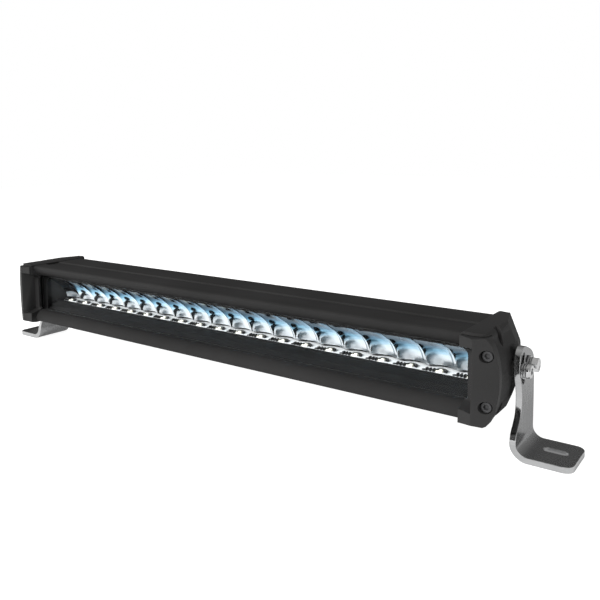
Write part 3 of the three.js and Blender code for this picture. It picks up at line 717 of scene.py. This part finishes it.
def bracket():
    edge = [(FOOT_Y0, -50), (24.0, -45), (26.0, -41), (29.6, -37), (32.6, -33), (34.2, -29), (34.9, -24), (34.5, -17), (32.8, -11), (30.6, -6), (28.8, -1.5),
            (27.9, 3), (28.0, 7), (29.0, 11), (30.9, 14.2), (34.0, 16.4), (38, 16.7), (43, 15.2), (49.6, 12.6), (54.6, 10), (58.2, 6.8), (60.2, 3), (61.0, -3),
            (62.2, -14), (63.0, -29), (63.4, -41), (FOOT_Y1, -48)]
    leg = [(FOOT_Y0, -70)] + spline(edge, 4) + [(FOOT_Y1, -70)]
    r = 12.5
    cx, cz = BR_X0 + r, FOOT_LOW + r
    ell = [(BR_X0, 40)] + arc(cx, cz, r, 180, 270, 20) + [(FOOT_X, FOOT_LOW), (FOOT_X, FOOT_LOW + BR_T)] + arc(cx, cz, r - BR_T, 270, 180, 16) + [(BR_X0 + BR_T, 40)]
    s = common(prism("Y", ell, 0, 80), prism("X", leg, 255, FOOT_X + 5), prism("Z", round_rect(250, FOOT_X, FOOT_Y0, FOOT_Y1, [7, 0.1, 0.1, 7], 12), -70, 40))
    a0, a1, h = LOCK_A - SWING - 1, LOCK_A + SWING + 1, 3.3
    e0, e1 = [(PIVOT_Y + LOCK_R * math.cos(math.radians(a)), PIVOT_Z + LOCK_R * math.sin(math.radians(a))) for a in (a0, a1)]
    slot_pts = arc(PIVOT_Y, PIVOT_Z, LOCK_R + h, a0, a1, 22) + arc(*e1, h, a1, a1 + 180, 10)[1:-1] + arc(PIVOT_Y, PIVOT_Z, LOCK_R - h, a1, a0, 18) + arc(*e0, h, a0 - 180, a0, 10)[1:-1]
    cut(s, prism("X", slot_pts, 255, 275), rod("X", 3.3, PIVOT_Y, PIVOT_Z, 255, 275, 40), prism("Z", round_rect(278.7, 295.3, 42.2, 48.8, 3.28, 10), -70, -40))
    dress(s, "steel_bracket_right", width=0.38, segs=3, angle=30, smooth=36, weld=3e-5, clamp=False)
    for me in (s.data,):
        me.materials.clear()
        me.materials.append(M_SATIN)
        me.materials.append(M_BRIGHT)
        pc = pt(cx, 0, cz)
        for f in me.polygons:
            c = f.center
            if c.z >= pc.z and c.x < pc.x:
                d = Vector((1, 0, 0))
            elif c.x >= pc.x:
                d = Vector((0, 0, 1))
            else:
                d = Vector((c.x - pc.x, 0, c.z - pc.z)).normalized()
            f.material_index = 0 if abs(f.normal.dot(d)) > 0.8 else 1
    left = mirror_copy(s, "steel_bracket_left")
    for o, side in ((s, "right"), (left, "left")):
        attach(o, "bracket_" + side)
        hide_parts("bracket_" + side)


bracket()


# ---------------------------------------------------------------- bolts and washers
def spring_ring(y, z, w, ri=3.3, ro=5.0, t=1.2, rise=0.34, seg=60, name="tmp"):
    """A split washer: its two ends stand apart along the axis."""
    verts, faces = [], []
    sec = [(ri, 0.12), (ri + 0.12, 0), (ro - 0.15, 0), (ro, 0.15), (ro, t - 0.15), (ro - 0.15, t), (ri + 0.12, t), (ri, t - 0.12)]
    m = len(sec)
    for k in range(seg + 1):
        f = k / seg
        a = math.radians(95 + 350 * f)
        off = w - rise / 2 + rise * f
        for r, h in sec:
            verts.append((off + h, y + r * math.cos(a), z + r * math.sin(a)))
    for k in range(seg):
        for i in range(m):
            j = (i + 1) % m
            faces.append([k * m + i, k * m + j, (k + 1) * m + j, (k + 1) * m + i])
    faces += [list(range(m)), list(range(seg * m, (seg + 1) * m))[::-1]]
    return new_obj(name, verts, faces)


for tag, y, z in (("pivot", PIVOT_Y, PIVOT_Z), ("lock", LOCK_Y, LOCK_Z)):
    a = BR_X0 + BR_T + 0.3
    made = []
    w = revolve("X", y, z, [(3.3, a + 0.12), (3.42, a), (5.7, a), (5.9, a + 0.2), (5.9, a + 0.9), (5.7, a + 1.1), (3.42, a + 1.1), (3.3, a + 0.98)], 64)
    dress(w, "plain_washer_right_" + tag, width=0, smooth=30)
    made.append((w, "washer", M_WASHER, "flat_washer_#_" + tag, "plain_washer_left_" + tag))
    b = a + 1.4
    w = spring_ring(y, z, b)
    dress(w, "split_washer_right_" + tag, width=0, smooth=30)
    made.append((w, "washer", M_WASHER, "spring_washer_#_" + tag, "split_washer_left_" + tag))
    c = b + 1.5
    if tag == "pivot":
        s = prism("X", hexagon(y, z, 5.6, 102), c, c + 4)
        common(s, lathe("X", y, z, [(5.75, c - 1), (5.75, c + 3.15), (5.35, c + 3.62), (4.75, c + 4.0)], 64))
        cut(s, lathe("X", y, z, [(3.4, c + 4.2), (3.4, c + 3.85), (3.1, c + 3.7)], 48))
    else:
        s = lathe("X", y, z, [(4.8, c), (5.1, c + 0.25), (5.1, c + 1.9), (5.0, c + 2.3), (4.7, c + 2.75), (4.3, c + 3.02), (3.9, c + 3.2)], 64)
        cut(s, prism("X", hexagon(y, z, 2.45, 30), c + 1.2, c + 6), lathe("X", y, z, [(2.1, c + 2.9), (2.7, c + 3.4)], 40))
    fuse(s, lathe("X", y, z, [(2.4, 247.6), (2.95, 248.2), (2.95, c + 0.5)], 40))
    dress(s, tag + "_screw_right", width=0.12, segs=2, angle=30, smooth=30, weld=1e-5, clamp=False)
    made.append((s, "bolt", M_BOLT, tag + "_bolt_#", tag + "_screw_left"))
    for ob, slot_name, mat, node, left_name in made:
        place(ob, "bar", slot_name, mat, node.replace("#", "right"))
        place(mirror_copy(ob, left_name), "bar", slot_name, mat, node.replace("#", "left"))

# ---------------------------------------------------------------- back: gland, its nut and the breather
gx = -150.0
s = prism("Y", hexagon(gx, 0, 9.6, 30), 59.3, 63.4)
common(s, lathe("Y", gx, 0, [(9.0, 59.2), (9.7, 59.9), (9.7, 62.8), (9.0, 63.5)], 64))
fuse(s, lathe("Y", gx, 0, [(7.0, 63), (7.0, 69.2), (6.7, 69.5)], 48), lathe("Y", gx, 0, [(5.5, 52.4), (5.9, 52.8), (5.9, 59.6)], 48))
cut(s, rod("Y", 3.4, gx, 0, 50, 72, 40))
dress(s, "gland_base", width=0.2, segs=2, angle=30, smooth=32, weld=1e-5, clamp=False)
place(s, "bar", "gland", M_NYLON, "gland_body")
s = prism("Y", hexagon(gx, 0, 9.2, 12), 64, 70.2)
common(s, lathe("Y", gx, 0, [(8.6, 63.9), (9.3, 64.6), (9.3, 69.4), (8.4, 70.3)], 64))
fuse(s, lathe("Y", gx, 0, [(8.2, 69.9), (8.2, 71.2), (7.9, 72.2), (7.2, 73.1), (6.2, 73.5)], 56))
cut(s, rod("Y", 7.3, gx, 0, 60, 70.2, 48), rod("Y", 3.7, gx, 0, 60, 80, 40))
dress(s, "gland_cap_nut", width=0.2, segs=2, angle=30, smooth=32, weld=1e-5, clamp=False)
place(s, "bar", "gland", M_NYLON, "gland_nut")
vx = 150.0
s = lathe("Y", vx, 0, [(3.5, 53.5), (3.9, 53.9), (3.9, 59.3), (7.1, 59.3), (7.4, 59.6), (7.4, 61.3), (7.2, 61.8), (6.6, 62.2)], 56)
for k in range(6):
    t = math.radians(60 * k + 15)
    cut(s, lathe("Y", vx + 7.5 * math.cos(t), 7.5 * math.sin(t), [(1.0, 59.9), (1.0, 61.3)], 16))
cut(s, revolve("Y", vx, 0, [(3.6, 61.7), (4.3, 61.7), (4.3, 63), (3.6, 63)], 48))
dress(s, "breather_cap", width=0.15, segs=2, angle=30, smooth=32, weld=1e-5, clamp=False)
place(s, "bar", "vent", M_VENT, "vent_plug")


# ---------------------------------------------------------------- what stands on the board beside each LED, with a black ring of painted shade round each one
def board_parts():
    black, bright = [], []
    top = -14.3
    for i in range(20):
        x = -240 + (i + 0.5) * 24
        y = 42.3
        # black ring round the back of the LED, open to the front: painted shade put where the gap under the
        # reflector's foot is in shadow
        pts = arc(x + 1.2, y - 0.9, 4.7, -12, 192, 18) + arc(x + 1.2, y - 0.9, 2.3, 192, -12, 14)
        black.append(prism("Z", pts, top + 0.02, top + 1.7))
        for dx in (-9.3, -6.6, -3.9):
            if i == 0 and dx < -9:
                continue
            black.append(block(x + dx - 0.7, x + dx + 0.7, 38.2, 41.4, top + 0.02, top + 2.4))
        if i < 19:
            black.append(lathe("Z", x + 12, 40.2, [(1.7, top + 0.02), (1.7, top + 0.4), (1.3, top + 0.6)], 20))
        bright.append(lathe("Z", x + 1.2, y - 1.1, [(1.6, top + 1.3), (1.55, top + 1.6), (1.3, top + 1.95), (0.8, top + 2.2), (0.3, top + 2.3)], 24))

    def merged(parts, name, width):
        bm = bmesh.new()
        for o in parts:
            bm.from_mesh(o.data)
            d = o.data
            bpy.data.objects.remove(o)
            bpy.data.meshes.remove(d)
        me = bpy.data.meshes.new(name)
        bm.to_mesh(me)
        bm.free()
        ob = bpy.data.objects.new(name, me)
        bpy.context.scene.collection.objects.link(ob)
        return dress(ob, name, width=width, segs=2, angle=40, smooth=40, weld=1e-6, clamp=False)

    place(merged(black, "board_parts_with_painted_shade", 0.15), "bar", "bezel", M_BEZEL)
    place(merged(bright, "led_domes", 0.0), "bar", "led", M_LED)


board_parts()

# ---------------------------------------------------------------- studio
floor = new_obj("floor", [(-3000, -3000, -60.25), (3000, -3000, -60.25), (3000, 4000, -60.25), (-3000, 4000, -60.25)], [[0, 1, 2, 3]])
fm = bpy.data.materials.new("floor_white")
fm.use_nodes = True
ft = fm.node_tree
ft.nodes.clear()
f_out = ft.nodes.new("ShaderNodeOutputMaterial")
f_add = ft.nodes.new("ShaderNodeAddShader")
f_dif = ft.nodes.new("ShaderNodeBsdfDiffuse")
f_dif.inputs["Color"].default_value = (0.3, 0.3, 0.3, 1)
f_emi = ft.nodes.new("ShaderNodeEmission")
f_lp = ft.nodes.new("ShaderNodeLightPath")
f_mul = ft.nodes.new("ShaderNodeMath")
f_mul.operation = "MULTIPLY"
f_mul.inputs[1].default_value = 0.93
f_co = ft.nodes.new("ShaderNodeTexCoord")
f_sp = ft.nodes.new("ShaderNodeSeparateXYZ")
ft.links.new(f_co.outputs["Object"], f_sp.inputs["Vector"])
f_rg = ft.nodes.new("ShaderNodeMapRange")
f_rg.inputs["From Min"].default_value = -0.15
f_rg.inputs["From Max"].default_value = 0.35
f_rg.inputs["To Min"].default_value = 0.24
f_rg.inputs["To Max"].default_value = 0.30
ft.links.new(f_sp.outputs["Y"], f_rg.inputs["Value"])
f_gl = ft.nodes.new("ShaderNodeMath")
f_gl.operation = "MULTIPLY"
ft.links.new(f_lp.outputs["Is Glossy Ray"], f_gl.inputs[0])
ft.links.new(f_rg.outputs["Result"], f_gl.inputs[1])
f_mx = ft.nodes.new("ShaderNodeMath")
f_mx.operation = "MAXIMUM"
ft.links.new(f_lp.outputs["Is Camera Ray"], f_mx.inputs[0])
ft.links.new(f_gl.outputs[0], f_mx.inputs[1])
ft.links.new(f_mx.outputs[0], f_mul.inputs[0])
ft.links.new(f_mul.outputs[0], f_emi.inputs["Strength"])
ft.links.new(f_dif.outputs["BSDF"], f_add.inputs[0])
ft.links.new(f_emi.outputs["Emission"], f_add.inputs[1])
ft.links.new(f_add.outputs["Shader"], f_out.inputs["Surface"])
floor.data.materials.append(fm)

world = bpy.data.worlds.new("studio")
bpy.context.scene.world = world
world.use_nodes = True
nt = world.node_tree
nt.nodes.clear()
wo = nt.nodes.new("ShaderNodeOutputWorld")
mixs = nt.nodes.new("ShaderNodeMixShader")
lp = nt.nodes.new("ShaderNodeLightPath")
seen = nt.nodes.new("ShaderNodeBackground")
seen.inputs["Color"].default_value = (1, 1, 1, 1)
seen.inputs["Strength"].default_value = 1.0
lit = nt.nodes.new("ShaderNodeBackground")
tcw = nt.nodes.new("ShaderNodeTexCoord")
sep = nt.nodes.new("ShaderNodeSeparateXYZ")
nt.links.new(tcw.outputs["Generated"], sep.inputs["Vector"])
# a bright wall on the camera's side and above, dark low behind the object
def ramp(sock, a, b, lo, hi):
    m = nt.nodes.new("ShaderNodeMapRange")
    m.inputs["From Min"].default_value = a
    m.inputs["From Max"].default_value = b
    m.inputs["To Min"].default_value = lo
    m.inputs["To Max"].default_value = hi
    nt.links.new(sock, m.inputs["Value"])
    return m.outputs["Result"]


def maths(op, a, b):
    m = nt.nodes.new("ShaderNodeMath")
    m.operation = op
    for i, v in enumerate((a, b)):
        if isinstance(v, (int, float)):
            m.inputs[i].default_value = v
        else:
            nt.links.new(v, m.inputs[i])
    return m.outputs[0]


# brightness round the horizon, from behind (+Y) over the left and the camera's side back to behind
azimuth = maths("ARCTAN2", sep.outputs["X"], maths("MULTIPLY", sep.outputs["Y"], -1.0))
round_it = nt.nodes.new("ShaderNodeValToRGB")
stops = [(-180, 0.10), (-143, 0.085), (-112, 0.05), (-92, 0.05), (-80, 0.75), (-60, 1.0), (-45, 1.0), (-30, 0.55), (-17, 0.06), (-6, 0.06), (2, 0.95),
         (34, 1.0), (52, 0.6), (60, 0.05), (76, 0.05), (86, 0.35), (112, 0.42), (146, 0.40), (166, 0.22), (180, 0.10)]
cr = round_it.color_ramp
cr.interpolation = "EASE"
cr.elements[0].position, cr.elements[1].position = 0.0, 1.0
for e, v in ((cr.elements[0], stops[0][1]), (cr.elements[1], stops[-1][1])):
    e.color = (v, v, v, 1)
for deg, v in stops[1:-1]:
    e = cr.elements.new((deg + 180) / 360)
    e.color = (v, v, v, 1)
nt.links.new(ramp(azimuth, -math.pi, math.pi, 0.0, 1.0), round_it.inputs["Fac"])
horizon = maths("MULTIPLY", round_it.outputs["Color"], ramp(sep.outputs["Z"], 0.35, 0.75, 1.0, 0.1))
above_part = ramp(sep.outputs["Z"], 0.3, 0.9, 0.0, 0.30)
below_cut = ramp(sep.outputs["Z"], -0.5, -0.1, 0.25, 1.0)
total = maths("MULTIPLY", maths("ADD", horizon, above_part), below_cut)
lit.inputs["Color"].default_value = (1, 0.995, 0.985, 1)
nt.links.new(total, lit.inputs["Strength"])
nt.links.new(lp.outputs["Is Camera Ray"], mixs.inputs["Fac"])
nt.links.new(lit.outputs["Background"], mixs.inputs[1])
nt.links.new(seen.outputs["Background"], mixs.inputs[2])
nt.links.new(mixs.outputs["Shader"], wo.inputs["Surface"])


def area(name, loc, target, size, power, size_y=None, colour=(1, 1, 1)):
    d = bpy.data.lights.new(name, "AREA")
    d.energy = power
    d.color = colour
    d.size = size
    if size_y:
        d.shape = "RECTANGLE"
        d.size_y = size_y
    o = bpy.data.objects.new(name, d)
    bpy.context.scene.collection.objects.link(o)
    o.location = loc
    o.rotation_euler = (Vector(target) - Vector(loc)).to_track_quat("-Z", "Y").to_euler()
    return o


for lamp in (area("key_front", (-0.35, -1.75, 1.12), (0, 0, 0.03), 1.3, 108, 0.6), area("top_soft", (0.1, 0.3, 1.6), (0, 0, 0), 1.4, 5, 0.8),
             area("right_soft", (1.8, -0.62, 0.10), (-0.25, 0, 0.06), 0.7, 13, 0.3)):
    lamp.visible_glossy = False
